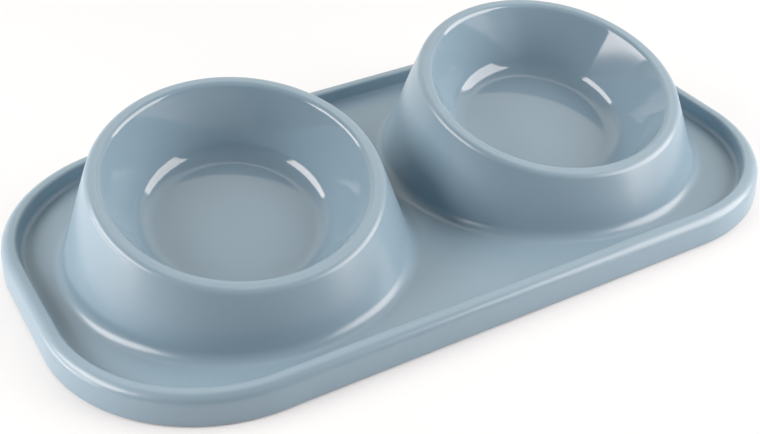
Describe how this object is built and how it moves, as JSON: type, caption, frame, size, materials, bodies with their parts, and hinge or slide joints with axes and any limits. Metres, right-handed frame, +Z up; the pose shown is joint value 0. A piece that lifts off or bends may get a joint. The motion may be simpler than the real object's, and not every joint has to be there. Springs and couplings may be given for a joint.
{
  "type": "double pet bowl",
  "caption": "Double pet bowl: a long rounded tray with a raised lip and flared feeding bowls side by side, their round rims tilted forward, on anti-slip rubber feet.",
  "frame": {"origin": "on the table, under the middle of the tray", "axes": "+X along the tray through both bowls, -Y to the front, towards which the bowls tilt, +Z up"},
  "size_m": [0.4, 0.2192, 0.0705],
  "materials": {
    "moulding": "blue-grey moulded plastic, satin outside and glossy in the bowls",
    "feet": "dark grey rubber, matte"
  },
  "bodies": {
    "root": {"bowl_tray": "moulding", "foot_front_left": "feet", "foot_front_middle": "feet", "foot_front_right": "feet", "foot_rear_left": "feet", "foot_rear_middle": "feet", "foot_rear_right": "feet"}
  },
  "joints": []
}
